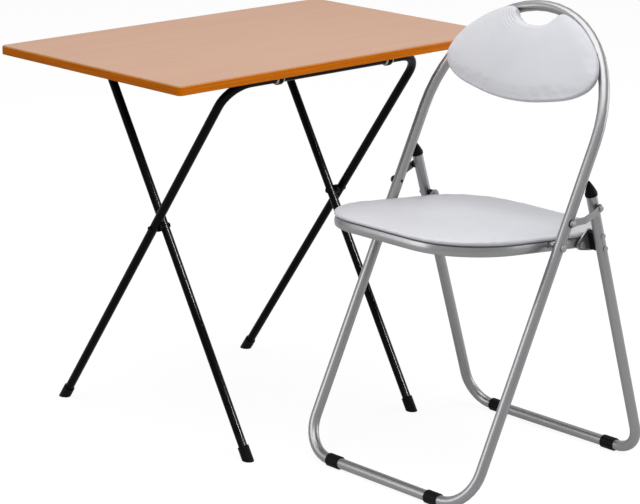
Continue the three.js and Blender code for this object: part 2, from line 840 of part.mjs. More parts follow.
// A stepped flat link: a side-view outline held between two faces that step outwards.
function linkPiece(sign) {
  const along = linkEnd.clone().sub(linkPivot);
  const length = along.length();
  along.normalize();
  const lift = new THREE.Vector3(0, -along.z, along.y);
  const spot = (t, w) => {
    const point = linkPivot.clone().addScaledVector(along, t).addScaledVector(lift, w);
    return [point.y, point.z];
  };
  const curve = new THREE.QuadraticBezierCurve(
    new THREE.Vector2(0, 0),
    new THREE.Vector2(length / 2, -2 * linkSag),
    new THREE.Vector2(length, 0),
  );
  const spine = curve.getPoints(cornerSteps);
  const lobe = (cx, cw, from) => {
    const list = [];
    for (let i = 0; i <= roundSides / 2; i += 1) {
      const angle = from + (2 * Math.PI * i) / roundSides;
      list.push(spot(cx + linkHalf * Math.cos(angle), cw + linkHalf * Math.sin(angle)));
    }
    return list;
  };
  const inner = spine.slice(1, -1);
  const outline = [
    ...inner.map((p) => spot(p.x, p.y - linkHalf)),
    ...lobe(length, 0, -Math.PI / 2),
    ...inner.slice().reverse().map((p) => spot(p.x, p.y + linkHalf)),
    ...lobe(0, 0, Math.PI / 2),
  ];
  const near = mainOuter + clearance + washerThickness + clearance;
  const far = near + linkStep;
  const xEnds = sign > 0 ? [near - overrun, far + overrun * 2] : [-far - overrun * 2, overrun - near];
  const plan = slab(outline, xEnds[0], xEnds[1]);
  const wide = linkHalf + linkThickness + linkSag * 2;
  const start = -wide;
  const end = length + wide;
  const band = [
    [start, near], [linkStepStart, near], [linkStepEnd, far], [end, far],
    [end, far + linkThickness], [linkStepEnd, far + linkThickness],
    [linkStepStart, near + linkThickness], [start, near + linkThickness],
  ];
  const shape = new THREE.Shape(band.map(([t, x]) => new THREE.Vector2(t, sign * x)));
  const depth = 2 * wide;
  const bandBody = new THREE.ExtrudeGeometry(shape, { depth, bevelEnabled: false });
  bandBody.translate(0, 0, -wide);
  const turn = new THREE.Matrix4().makeBasis(along, new THREE.Vector3(1, 0, 0), lift.clone().negate());
  bandBody.applyMatrix4(turn);
  bandBody.translate(0, linkPivot.y, linkPivot.z);
  const hole = rivetShank + clearance;
  const ends = [0, sign * (far + linkThickness + overrun)];
  return cut(common(plan, bandBody), [
    crossBar(hole, linkPivot.y, linkPivot.z, ends[0], ends[1], roundSides),
    crossBar(hole, linkEnd.y, linkEnd.z, ends[0], ends[1], roundSides),
  ]);
}

// A rivet along X: a shank between two ends and a domed head at the outer one.
function rivet(point, xFrom, xSeat, sign) {
  const xTop = xSeat + rivetHeadDepth;
  const xMid = xSeat + rivetHeadDepth / 2;
  const start = new THREE.Vector3(sign * xFrom, point.y, point.z);
  const seat = new THREE.Vector3(sign * xSeat, point.y, point.z);
  const mid = new THREE.Vector3(sign * xMid, point.y, point.z);
  const top = new THREE.Vector3(sign * xTop, point.y, point.z);
  return join([
    bar(rivetShank, start, mid, roundSides),
    bar(rivetHead, seat, mid, roundSides),
    bar(rivetShank + capTip / 2, mid.clone().lerp(seat, 0.5), top, roundSides),
  ]);
}

function washer(point, xLow, sign) {
  const xHigh = xLow + washerThickness;
  const ring = crossBar(washerRadius, point.y, point.z, sign * xLow, sign * xHigh, roundSides);
  const hole = rivetShank + clearance;
  const ends = [sign * (xLow - overrun), sign * (xHigh + overrun)];
  return cut(ring, [crossBar(hole, point.y, point.z, ends[0], ends[1], roundSides)]);
}

function chairLinks() {
  const nearFace = mainOuter + clearance;
  const farFace = nearFace + linkStep;
  const plateIn = washerThickness + clearance;
  const plateOut = plateIn + linkThickness + clearance;
  for (const [hand, sign] of chairHands) {
    addChair(`chair_link_${hand}`, linkPiece(sign), materials.silver);
    const lowerWasher = washer(linkPivot, nearFace, sign);
    addChair(`chair_link_lower_washer_${hand}`, lowerWasher, materials.blackPlastic);
    const lower = rivet(linkPivot, mainHalf, nearFace + plateOut, sign);
    addChair(`chair_link_lower_rivet_${hand}`, lower, materials.zinc);
    const upperWasher = washer(linkEnd, farFace, sign);
    addChair(`chair_link_upper_washer_${hand}`, upperWasher, materials.blackPlastic);
    const upper = rivet(linkEnd, farFace, farFace + plateOut, sign);
    addChair(`chair_link_upper_rivet_${hand}`, upper, materials.zinc);
  }
}

// The bolt that carries the seat on the main tube, with a shoulder between tube and seat.
function chairSeatBolts() {
  const { y, z } = seatPivot;
  const outer = mainOuter + clearance;
  const shoulderIn = panHalf + clearance;
  const nutOut = panHalf - panWall - pivotNutGap;
  for (const [hand, sign] of chairHands) {
    const span = (radius, from, to, count) => {
      return crossBar(radius, y, z, sign * from, sign * to, count);
    };
    const bolt = join([
      span(pivotShank, nutOut - pivotNutDepth, outer + pivotHeadDepth, roundSides),
      span(pivotNut, nutOut - pivotNutDepth, nutOut, 6),
      span(pivotShoulder, shoulderIn, mainInner - clearance, roundSides),
      span(pivotHead, outer, outer + pivotHeadDepth, roundSides),
    ]);
    addChair(`chair_seat_bolt_${hand}`, bolt, materials.zinc);
  }
}

const plateX = panHalf + clearance + rearBushThickness + clearance;

function bracketOutline() {
  const [upper, lower] = bracketPoints;
  return hullOf([
    [rearPivot.y, rearPivot.z, bracketNose],
    [upper.y, upper.z, bracketLobe],
    [lower.y, lower.z, bracketLobe],
  ], roundSides);
}

// The black block follows the leg and is hollowed to sit against its round side.
function blockPiece(sign) {
  const [upper, lower] = bracketPoints;
  const top = upper.clone().addScaledVector(rearUp, blockOverhang);
  const bottom = lower.clone().addScaledVector(rearUp, -blockOverhang);
  const outline = [
    [bottom.y - blockHalf * rearUp.z, bottom.z + blockHalf * rearUp.y],
    [bottom.y + blockHalf * rearUp.z, bottom.z - blockHalf * rearUp.y],
    [top.y + blockHalf * rearUp.z, top.z - blockHalf * rearUp.y],
    [top.y - blockHalf * rearUp.z, top.z + blockHalf * rearUp.y],
  ];
  const xLow = plateX + bracketThickness + clearance;
  const xHigh = rearHalf - chairTube / 2;
  const block = slab(outline, Math.min(sign * xLow, sign * xHigh), Math.max(sign * xLow, sign * xHigh));
  const from = bottom.clone().addScaledVector(rearUp, -blockOverhang);
  const to = top.clone().addScaledVector(rearUp, blockOverhang);
  from.x = sign * rearHalf;
  to.x = sign * rearHalf;
  const hole = rivetShank + clearance;
  return cut(block, [
    bar(chairTube + clearance, from, to, chairSides),
    crossBar(hole, upper.y, upper.z, 0, sign * rearHalf, roundSides),
    crossBar(hole, lower.y, lower.z, 0, sign * rearHalf, roundSides),
  ]);
}

function bracketPiece(sign) {
  const [upper, lower] = bracketPoints;
  const ends = [sign * plateX, sign * (plateX + bracketThickness)];
  const plate = slab(bracketOutline(), Math.min(...ends), Math.max(...ends));
  const reach = sign * (plateX + bracketThickness + overrun);
  const hole = rivetShank + clearance;
  return cut(plate, [
    crossBar(hole, upper.y, upper.z, 0, reach, roundSides),
    crossBar(hole, lower.y, lower.z, 0, reach, roundSides),
    crossBar(pivotShank + clearance, rearPivot.y, rearPivot.z, 0, reach, roundSides),
  ]);
}

// A rivet through bracket, block and rear leg, with a head at each end.
function bracketRivet(point, sign) {
  const inner = plateX - clearance;
  const outer = rearOuter + clearance;
  const headIn = inner - rivetHeadDepth / 2;
  const headOut = outer + rivetHeadDepth / 2;
  const { y, z } = point;
  return join([
    crossBar(rivetShank, y, z, sign * headIn, sign * headOut, roundSides),
    crossBar(rivetHead, y, z, sign * headIn, sign * inner, roundSides),
    crossBar(rivetHead, y, z, sign * outer, sign * headOut, roundSides),
  ]);
}

function rearBolt(sign) {
  const { y, z } = rearPivot;
  const headSeat = plateX + bracketThickness + clearance;
  const headTop = headSeat + rearBoltHeadDepth;
  const nutOut = panHalf - panWall - pivotNutGap;
  return join([
    crossBar(pivotShank, y, z, sign * (nutOut - pivotNutDepth), sign * headTop, roundSides),
    crossBar(pivotNut, y, z, sign * (nutOut - pivotNutDepth), sign * nutOut, 6),
    crossBar(rearBoltHead, y, z, sign * headSeat, sign * headTop, 6),
  ]);
}

function rearBushPiece(sign) {
  const { y, z } = rearPivot;
  const low = sign * (panHalf + clearance);
  const high = sign * (panHalf + clearance + rearBushThickness);
  const ring = crossBar(rearBush, y, z, low, high, roundSides);
  const hole = pivotShank + clearance;
  return cut(ring, [crossBar(hole, y, z, 0, sign * rearHalf, roundSides)]);
}

function chairRearBrackets() {
  for (const [hand, sign] of chairHands) {
    addChair(`chair_rear_bracket_${hand}`, bracketPiece(sign), materials.zinc);
    addChair(`chair_rear_block_${hand}`, blockPiece(sign), materials.blackPlastic);
    const upper = bracketRivet(bracketPoints[0], sign);
    addChair(`chair_bracket_rivet_upper_${hand}`, upper, materials.zinc);
    const lower = bracketRivet(bracketPoints[1], sign);
    addChair(`chair_bracket_rivet_lower_${hand}`, lower, materials.zinc);
    addChair(`chair_rear_bolt_${hand}`, rearBolt(sign), materials.zinc);
    addChair(`chair_rear_bush_${hand}`, rearBushPiece(sign), materials.blackPlastic);
  }
}

// The seat's plan: an eight-sided outline with generous corners.
function seatOutline() {
  const half = [
    [panFrontCut, -panFront], [panHalf, -panFrontShoulder],
    [panHalf, panRearShoulder], [panRearCut, panRear],
  ];
  const corners = half.map(([x, y]) => new THREE.Vector2(x, y));
  const mirrored = half.slice().reverse().map(([x, y]) => new THREE.Vector2(-x, y));
  return roundedOutline(corners.concat(mirrored), panCorner);
}

function seatRing(outline, share, height) {
  return outline.map((point) => new THREE.Vector3(point.x * share, point.y * share, height));
}

// From the seat's own plane to the chair: tilted down to the rear about the main pivot.
function placeSeat(geometry) {
  geometry.translate(0, 0, -panRise);
  geometry.rotateX(-Math.atan2(seatTiltDrop, seatTiltRun));
  geometry.translate(0, seatPivot.y, seatPivot.z);
  return geometry;
}

function chairSeatPan() {
  const outline = seatOutline();
  const rings = rimRingShares.map(([share, high]) => seatRing(outline, share, high * panRimHalf));
  const shell = loft(rings.reverse());
  const innerShare = (panHalf - panWall) / panHalf;
  const hollow = loft([
    seatRing(outline, innerShare, -panRimHalf - overrun),
    seatRing(outline, innerShare, panRimHalf - panRoof),
  ]);
  const pan = placeSeat(cut(shell, [hollow]));
  const tools = [];
  for (const [, sign] of chairHands) {
    for (const pivot of [seatPivot, rearPivot]) {
      const hole = pivotShank + clearance;
      const ends = [sign * (panHalf - panWall * 2), sign * (panHalf + overrun)];
      tools.push(crossBar(hole, pivot.y, pivot.z, ends[0], ends[1], roundSides));
    }
  }
  addChair('chair_seat_pan', cut(pan, tools), materials.silver);
}

// Rings of a soft form: a drawn-in edge, then a crown that rises to the middle.
function softRings(ringAt, base, edge, crown) {
  const rings = padRingShares.map(([share, high]) => ringAt(share, base + edge * high));
  for (const [share, high] of crownRingShares) {
    rings.push(ringAt(share, base + edge + crown * high));
  }
  return rings;
}

function chairSeatPad() {
  const outline = seatOutline();
  const fullShare = (panHalf + padOverhang) / panHalf;
  const ringAt = (share, height) => seatRing(outline, share * fullShare, height);
  const pad = loft(softRings(ringAt, panRimHalf + clearance, padEdge, padCrown));
  addChair('chair_seat_pad', placeSeat(pad), materials.vinyl);
}

// The back's outline as a closed row of points about its own centre. The notch for the hand
// fades out towards the middle, so that only the edge follows it.
function backPoints(share) {
  const fade = Math.min(1, ((1 - share) / notchFadeShare) ** notchFadePower);
  const fill = (up) => up + (backCrestUp - up) * fade;
  const right = backOutline.concat(notchOutline.map(([x, up]) => [x, fill(up)]));
  const list = right.map(([x, up]) => new THREE.Vector2(x, up - backCentreUp));
  const left = right.slice(1).reverse().map(([x, up]) => new THREE.Vector2(-x, up - backCentreUp));
  list.push(new THREE.Vector2(0, fill(notchBottom) - backCentreUp));
  return list.concat(left);
}

function backRing(share, front) {
  return backPoints(share).map((p) => onMain(p.x * share, backCentreUp + p.y * share, -front));
}

const boardSeat = chairTube + clearance;

function chairBack() {
  const board = loft([
    backRing(boardOutlineShare, boardSeat),
    backRing(boardOutlineShare, boardSeat + boardDepth),
  ]);
  const holes = [backScrewHole(backScrewX), backScrewHole(-backScrewX)];
  addChair('chair_back_board', cut(board, holes), materials.blackPlastic);
  const base = boardSeat + boardDepth + clearance;
  const pad = loft(softRings(backRing, base, backPadEdge, backPadCrown));
  addChair('chair_back_pad', pad, materials.vinyl);
  for (const [hand, sign] of chairHands) {
    const x = sign * backScrewX;
    const seat = onMain(x, backScrewUp, chairTube + clearance);
    const top = onMain(x, backScrewUp, chairTube + clearance + rivetHeadDepth);
    const tip = onMain(x, backScrewUp, -boardSeat - boardDepth);
    const piece = join([bar(rivetShank, tip, top, roundSides), bar(rivetHead, seat, top, roundSides)]);
    addChair(`chair_back_screw_${hand}`, piece, materials.zinc);
  }
}

deskTop();
deskFrame('desk_outer_frame', outerBarY, outerDown, outerHalf, outerLeg);
deskFrame('desk_inner_frame', innerBarY, innerDown, innerHalf, innerLeg);
deskFeet();
deskCrossing();
deskFittings();
chairMainFrame();
chairSleeves();
chairRearFrame();
chairRearCaps();
chairLinks();
chairSeatBolts();
chairRearBrackets();
chairSeatPan();
chairSeatPad();
chairBack();

// The whole set is centred over its own floor outline.
const outlineBox = new THREE.Box3().setFromObject(set);
const centre = outlineBox.getCenter(new THREE.Vector3());
for (const mesh of set.children) {
  mesh.geometry.translate(-centre.x, -centre.y, 0);
}

export default set;
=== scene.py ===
"""Folding desk and chair set: finishes for every piece, padded covers, and a small studio."""

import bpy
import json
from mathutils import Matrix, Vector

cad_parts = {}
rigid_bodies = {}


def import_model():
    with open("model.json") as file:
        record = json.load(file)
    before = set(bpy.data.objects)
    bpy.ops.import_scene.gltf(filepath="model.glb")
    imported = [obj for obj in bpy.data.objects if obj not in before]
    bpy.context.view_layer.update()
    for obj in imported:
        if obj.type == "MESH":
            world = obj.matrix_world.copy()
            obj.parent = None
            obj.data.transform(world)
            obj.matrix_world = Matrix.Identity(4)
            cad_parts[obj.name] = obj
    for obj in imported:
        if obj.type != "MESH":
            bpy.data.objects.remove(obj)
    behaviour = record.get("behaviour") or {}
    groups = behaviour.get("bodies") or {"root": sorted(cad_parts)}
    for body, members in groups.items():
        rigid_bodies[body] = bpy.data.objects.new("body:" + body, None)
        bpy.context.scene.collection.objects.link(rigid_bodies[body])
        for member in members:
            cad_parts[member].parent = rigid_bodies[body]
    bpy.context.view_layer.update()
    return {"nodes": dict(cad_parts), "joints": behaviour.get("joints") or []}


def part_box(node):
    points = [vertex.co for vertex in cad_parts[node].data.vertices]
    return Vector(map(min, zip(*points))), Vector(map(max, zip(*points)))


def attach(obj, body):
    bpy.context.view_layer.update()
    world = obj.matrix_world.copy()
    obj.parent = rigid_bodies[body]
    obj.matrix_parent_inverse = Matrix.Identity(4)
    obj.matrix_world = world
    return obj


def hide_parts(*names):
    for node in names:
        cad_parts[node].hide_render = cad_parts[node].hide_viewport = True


bl_info = {
    "name": "Folding Desk and Chair Set",
    "version": (1, 0, 0),
    "blender": (4, 5, 0),
    "location": "3D View > Sidebar > Desk Set",
    "description": "Dresses a folding desk and a folding chair with finishes and padded covers",
    "category": "Object",
}

import json
import math

import bmesh
import bpy
import numpy as np
from bpy.props import FloatProperty, FloatVectorProperty, IntProperty, PointerProperty
from bpy.types import Operator, Panel, PropertyGroup
from mathutils import Matrix, Vector, noise
from mathutils.kdtree import KDTree

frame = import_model()

joint_places = {
    joint["name"]: Vector(joint["pos_m"]) for joint in frame["joints"] if "pos_m" in joint
}
seat_pivot = joint_places["chair_seat_fold"]
board_low, board_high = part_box("desk_top_board")

# Chair layout that the covers share with the solids: places and sizes in metres, and slopes
MAIN_LEAN = math.atan(0.4975)
SEAT_PIVOT_UP = 0.463
SEAT_TILT = math.atan(0.098)
PAN_RISE = 0.0028
PAN_RIM_HALF = 0.009
FIT = 0.0003
SEAT_CORNERS = [
    (0.124, -0.221), (0.180, -0.138), (0.180, 0.123), (0.118, 0.188),
    (-0.118, 0.188), (-0.180, 0.123), (-0.180, -0.138), (-0.124, -0.221),
]
SEAT_CORNER_REACH = 0.056
SEAT_GROW = 182 / 180
BACK_CENTRE_UP = 0.762
BACK_HALF = [
    (0.0, 0.6875), (0.044, 0.690), (0.090, 0.698), (0.126, 0.707), (0.153, 0.720),
    (0.168, 0.734), (0.174, 0.752), (0.168, 0.774), (0.154, 0.795), (0.134, 0.814),
    (0.111, 0.831), (0.088, 0.843), (0.066, 0.8505),
]
NOTCH_HALF = [(0.053, 0.8495), (0.043, 0.838), (0.031, 0.8295), (0.016, 0.8248)]
NOTCH_BOTTOM = (0.0, 0.8235)
BACK_CREST_UP = 0.852
BOARD_FRONT = 0.0098
BOARD_DEPTH = 0.0036

# Bands in metres: heights above the floor, and depths from the board's own faces
ENAMEL_DUST = (0.02, 0.16)
SILVER_WEAR = (0.02, 0.12)
SLEEVE_SCUFF = (0.004, 0.022)
ARRIS_BELOW_TOP = (0.0021, 0.0004)
BACKING_ABOVE_BOTTOM = (0.0002, 0.0009)

# Puckers beside the notch of the back pad: their centre, and bands in metres from it
PUCKER_ASIDE = -0.030
PUCKER_LIFT = 0.01
PUCKER_REACH = (0.026, 0.058)
PUCKER_START_ASIDE = (0.002, 0.016)
PUCKERS_PER_METRE = 1100
PUCKER_WANDER = 9

# Mesh work on the CAD pieces
WELD_GAP = 0.00002
ARRIS_ANGLE = math.radians(38)
SHARP_ANGLE = math.radians(31)

# Mesh of the covers: counts, shares of the outline, and heights and lengths in metres
SEAT_COLUMNS = 240
BACK_COLUMNS = 300
CORNER_STEPS = 16
OUTLINE_STEPS = 8
PROFILE_STEPS = 4
NOTCH_FADE_SHARE = 0.4
NOTCH_FADE_POWER = 1.5
BOARD_WRAP_LEFT_BARE = 0.0004
BAG_FOOT_SHARE = 0.975
BAG_START = 0.0005
HELD_BELOW = 0.002
HELD_FADE = 0.003
NEIGHBOURS = 6
NEIGHBOUR_SOFTEN = 0.001
LEAST_MOVE = 1e-9
WAVES_ABOVE = 0.004
WAVES_FADE = 0.004
WAVE_OFFSET = 300
SEAT_WAVES = 9.0
BACK_WAVES = 11.0

# Studio: places and sizes in metres, and the camera's sensor in millimetres
ROOM_MIDDLE = (0.0, 0.0, 0.45)
FLOOR_HALF = 20
KEY_SIZE = (4.2, 4.2)
DESK_KEY_PLACE = (-0.4, -1.0, 3.5)
CHAIR_KEY_PLACE = (-0.3, -0.2, 3.5)
FILL_PLACE, FILL_SIZE = (2.8, -1.5, 0.9), (2.4, 1.6)
SIDE_PLACE, SIDE_SIZE = (-2.3, 0.8, 1.2), (1.8, 1.8)
LINE_PLACE, LINE_SIZE = (0.79, -2.38, 1.81), (0.25, 1.4)
LINE_AIM = (-0.3, -0.1, 0.25)
SENSOR_WIDTH = 36
VIEW_END = 60
FLOOR_PALE = (0.47, 0.47, 0.47)
FLOOR_DARKER = (0.45, 0.45, 0.45)
FLOOR_GLOW = 1.30
FLOOR_GLOW_SHARE = 0.70
MIRRORED_SHARE = 0.4
WHITE = (1, 1, 1, 1)


def linear(red, green, blue):
    """A colour picked in display values from 0 to 255, as scene-linear values."""
    out = []
    for value in (red, green, blue):
        share = value / 255
        out.append(share / 12.92 if share <= 0.04045 else ((share + 0.055) / 1.055) ** 2.4)
    return tuple(out)


def darker(shade, share):
    """A colour at a share of its strength."""
    return tuple(value * share for value in shade)


def colour_field(label, about, shade):
    """A colour that the user can change."""
    return FloatVectorProperty(
        name=label, description=about, subtype="COLOR", size=3, min=0, max=1, default=linear(*shade)
    )


def length_field(label, about, metres):
    """A length that the user can change."""
    return FloatProperty(
        name=label, description=about, default=metres, min=0, subtype="DISTANCE", unit="LENGTH"
    )


def angle_field(label, about, degrees):
    """An angle that the user can change."""
    return FloatProperty(
        name=label, description=about, default=math.radians(degrees), subtype="ANGLE",
        unit="ROTATION",
    )


def power_field(label, about, watts):
    """A lamp's power that the user can change."""
    return FloatProperty(name=label, description=about, default=watts, unit="POWER")


class DeskFinish(PropertyGroup):
    """Colours of the desk."""

    sheet: colour_field("Work sheet", "Matte sheet on the desk top", (195, 156, 132))
    sheet_vein: colour_field("Sheet vein", "Darker veins in the sheet", (181, 139, 112))
    lacquer: colour_field("Edge lacquer", "Lacquered edge of the board", (222, 119, 0))
    lacquer_vein: colour_field("Edge vein", "Darker layers in the edge", (168, 84, 0))
    backing: colour_field("Backing", "Plain sheet below the board", (158, 118, 88))
    arris: colour_field("Arris", "Pale line where the sheet meets the edge", (206, 132, 62))
    enamel: colour_field("Black enamel", "Gloss black on the desk tubes", (3, 3, 4))
    nylon: colour_field("Nylon", "Pale hinge bushes", (219, 216, 205))


class ChairFinish(PropertyGroup):
    """Colours of the chair."""

    silver: colour_field("Silver enamel", "Silver on the chair tubes", (164, 164, 166))
    vinyl: colour_field("Vinyl", "Pale cover of the pads", (199, 200, 205))
    # Darker vinyl for random broad patches, and painted shade along the crease lines
    vinyl_patch_and_crease_shade: colour_field("Vinyl folds", "Stretched or creased cover", (186, 188, 194))
    plastic: colour_field("Black plastic", "Sleeves, caps, blocks and washers", (11, 11, 12))
    zinc: colour_field("Zinc", "Bolts, rivets and brackets", (172, 174, 177))


class PadShape(PropertyGroup):
    """Shape of the padded covers."""

    seat_edge: length_field("Seat edge", "Height of the seat pad at its side", 0.0096)
    seat_crown: length_field("Seat crown", "Rise of the seat pad to its middle", 0.0046)
    back_edge: length_field("Back edge", "Thickness of the back pad at its side", 0.0085)
    back_crown: length_field("Back crown", "Rise of the back pad to its middle", 0.0070)
    swell: length_field("Most swell", "Furthest that the cover may move when filled", 0.0022)
    voxel: length_field("Cover mesh", "Mesh width of the bag that is filled", 0.005)
    wave: length_field("Wave", "Depth of the soft waves in the covers", 0.0007)
    steps: IntProperty(name="Fill steps", description="Steps of the filling", default=18, min=2)


class StudioSetup(PropertyGroup):
    """Camera and light."""

    lens: FloatProperty(name="Lens", description="Focal length", default=138.32, unit="CAMERA")
    azimuth: angle_field("Heading", "Camera heading from the X axis", 47.434)
    pitch: angle_field("Pitch", "Camera pitch below the horizon", 15.329)
    roll: angle_field("Roll", "Camera roll", 0.170)
    place: FloatVectorProperty(
        name="Place", description="Camera position", size=3, subtype="TRANSLATION",
        unit="LENGTH", default=(-2.870204, -3.110794, 1.500205),
    )
    key: power_field("Key", "Power of each large lamp", 134)
    fill: power_field("Fill", "Power of the right lamp", 24)
    side: power_field("Side", "Power of the left lamp", 21)
    line: power_field("Line", "Power of the narrow lamp", 420)
    sky: FloatProperty(name="Sky", description="Strength of the even light", default=0.34, min=0)


def operate(operation, swapped=False):
    """A Python operator that adds a Math node."""

    def method(self, other=None):
        if other is None:
            return self.nodes.math(operation, self)
        ordered = (other, self) if swapped else (self, other)
        return self.nodes.math(operation, *ordered)

    return method


class Wire:
    """The output socket of a node. A number takes part in plain arithmetic."""

    def __init__(self, nodes, socket):
        self.nodes = nodes
        self.socket = socket

    __add__ = operate("ADD")
    __radd__ = operate("ADD", True)
    __sub__ = operate("SUBTRACT")
    __rsub__ = operate("SUBTRACT", True)
    __mul__ = operate("MULTIPLY")
    __rmul__ = operate("MULTIPLY", True)
    __abs__ = operate("ABSOLUTE")

    def ramp(self, low, high):
        """0 below low, 1 above high, with a smooth rise between."""
        return self.nodes.node(
            "ShaderNodeMapRange",
            {"interpolation_type": "SMOOTHSTEP"},
            {"Value": self, "From Min": low, "From Max": high, "To Min": 0.0, "To Max": 1.0},
        )


class Nodes:
    """A node tree that is filled by one method."""

    def __init__(self, tree):
        self.tree = tree
        self.tree.nodes.clear()

    def node(self, kind, settings, sockets, output=0):
        """A node of any kind: its settings first, then the values or links of its sockets."""
        made = self.tree.nodes.new(kind)
        for key, value in settings.items():
            setattr(made, key, value)
        for key, value in sockets.items():
            socket = made.inputs[key]
            if isinstance(value, Wire):
                self.tree.links.new(value.socket, socket)
            else:
                socket.default_value = value
        return Wire(self, made.outputs[output]) if made.outputs else None

    def math(self, operation, *values):
        """A Math node on numbers or sockets."""
        return self.node("ShaderNodeMath", {"operation": operation}, dict(enumerate(values)))

    def background_seen(self):
        """1 for what the camera sees itself, less for what a glossy surface mirrors."""
        camera = self.node("ShaderNodeLightPath", {}, {}, "Is Camera Ray")
        mirrored = self.node("ShaderNodeLightPath", {}, {}, "Is Glossy Ray")
        return camera + mirrored * MIRRORED_SHARE


class Finish(Nodes):
    """One procedural material and the nodes that it is made of."""

    def __init__(self, name):
        self.material = bpy.data.materials.new(name)
        self.material.use_nodes = True
        super().__init__(self.material.node_tree)

    def place(self):
        """The point on the piece, in metres."""
        return self.node("ShaderNodeTexCoord", {}, {}, "Object")

    def height(self):
        """The point's height above the floor, in metres."""
        return self.node("ShaderNodeSeparateXYZ", {}, {0: self.place()}, "Z")

    def stretched(self, x, y, z):
        """The point with each axis scaled, so that a texture runs long along one of them."""
        return self.node(
            "ShaderNodeVectorMath", {"operation": "MULTIPLY"}, {0: self.place(), 1: (x, y, z)}
        )

    def cloud(self, where, scale, detail=3.0, rough=0.55, bent=0.0):
        """Soft noise from 0 to 1."""
        shape = {"Scale": scale, "Detail": detail, "Roughness": rough, "Distortion": bent}
        return self.node("ShaderNodeTexNoise", {}, {"Vector": where, **shape})

    def cells(self, scale, feature="F1"):
        """Small cells, as flakes, crystals or a grain."""
        return self.node(
            "ShaderNodeTexVoronoi", {"feature": feature}, {"Vector": self.place(), "Scale": scale}
        )

    def blend(self, share, first, second):
        """Two colours mixed by a share."""
        start, end = [c if isinstance(c, Wire) else (*c, 1.0) for c in (first, second)]
        return self.node("ShaderNodeMix", {"data_type": "RGBA"}, {0: share, 6: start, 7: end}, 2)

    def bump(self, height, strength, distance, under=None):
        """A surface normal from a height, over an earlier one if there is one."""
        sockets = {"Strength": strength, "Distance": distance, "Height": height}
        if under is not None:
            sockets["Normal"] = under
        return self.node("ShaderNodeBump", {}, sockets)

    def surface(self, **values):
        """Closes the material with its surface shader."""
        sockets = {}
        for key, value in values.items():
            name = key.replace("_", " ").title().replace("Ior", "IOR")
            sockets[name] = value
        shader = self.node("ShaderNodeBsdfPrincipled", {}, sockets)
        self.node("ShaderNodeOutputMaterial", {}, {"Surface": shader})
        return self.material


def matte_sheet(desk):
    """Pale beech-coloured work sheet: long faint veins and short flecks, dry to the touch."""
    f = Finish("matte_work_sheet")
    vein = f.cloud(f.stretched(0.9, 13.0, 1.0), scale=5.0, detail=6.0, rough=0.6, bent=0.6)
    fleck = f.cloud(f.stretched(1.0, 11.0, 1.0), scale=62.0, detail=2.0, rough=0.5)
    fleck = fleck.ramp(0.60, 0.72)
    patch = f.cloud(f.place(), scale=2.2, detail=2.0)
    vein_share, fleck_share, patch_share = 0.34, 0.22, 0.16
    tone = vein.ramp(0.30, 0.78) * vein_share + fleck * fleck_share
    tone = tone + patch.ramp(0.35, 0.75) * patch_share
    grain = f.cloud(f.stretched(6.0, 60.0, 6.0), scale=30.0, detail=4.0)
    return f.surface(
        base_color=f.blend(tone, desk.sheet, desk.sheet_vein),
        roughness=0.5 + patch * 0.08 - fleck * 0.05,
        normal=f.bump(grain, strength=0.10, distance=0.0004),
    )


def lacquered_edge(desk):
    """Board: a lacquered edge with thin layers and a pale arris, and a plain backing below."""
    f = Finish("lacquered_board_edge")
    height = f.height()
    layers = f.cloud(f.stretched(5.0, 5.0, 420.0), scale=1.6, detail=5.0, rough=0.6)
    pores = f.cloud(f.stretched(14.0, 14.0, 260.0), scale=9.0).ramp(0.58, 0.74)
    layer_share, pore_share, fibre_dark = 0.72, 0.28, 0.72
    tone = layers.ramp(0.30, 0.74) * layer_share + pores * pore_share
    wood = f.blend(tone, desk.lacquer, desk.lacquer_vein)
    arris = height.ramp(*(board_high.z - depth for depth in ARRIS_BELOW_TOP))
    edge = f.blend(arris, wood, desk.arris)
    rub = f.cloud(f.place(), scale=26.0, detail=4.0)
    under = 1.0 - height.ramp(*(board_low.z + rise for rise in BACKING_ABOVE_BOTTOM))
    fibre = f.cloud(f.stretched(3.0, 40.0, 1.0), scale=22.0, detail=5.0)
    backing = f.blend(fibre, desk.backing, darker(desk.backing, fibre_dark))
    return f.surface(
        base_color=f.blend(under, edge, backing),
        roughness=0.34 + rub * 0.16 + under * 0.2,
        specular_ior_level=0.08,
        normal=f.bump(layers + pores * 0.4, strength=0.12, distance=0.0003),
    )


def gloss_enamel(desk):
    """Gloss black enamel: a faint orange peel, dust low down and rubbed places."""
    f = Finish("gloss_black_enamel")
    peel = f.cloud(f.place(), scale=420.0, detail=2.0)
    rub = f.cloud(f.place(), scale=34.0, detail=5.0, rough=0.65)
    dust = (1.0 - f.height().ramp(*ENAMEL_DUST)) * rub.ramp(0.42, 0.75)
    dust_share, dust_grey = 0.20, linear(48, 46, 44)
    return f.surface(
        base_color=f.blend(dust * dust_share, desk.enamel, dust_grey),
        roughness=0.17 + rub.ramp(0.4, 0.8) * 0.06 + dust * 0.1,
        specular_ior_level=0.07,
        normal=f.bump(peel, strength=0.02, distance=0.0001),
    )


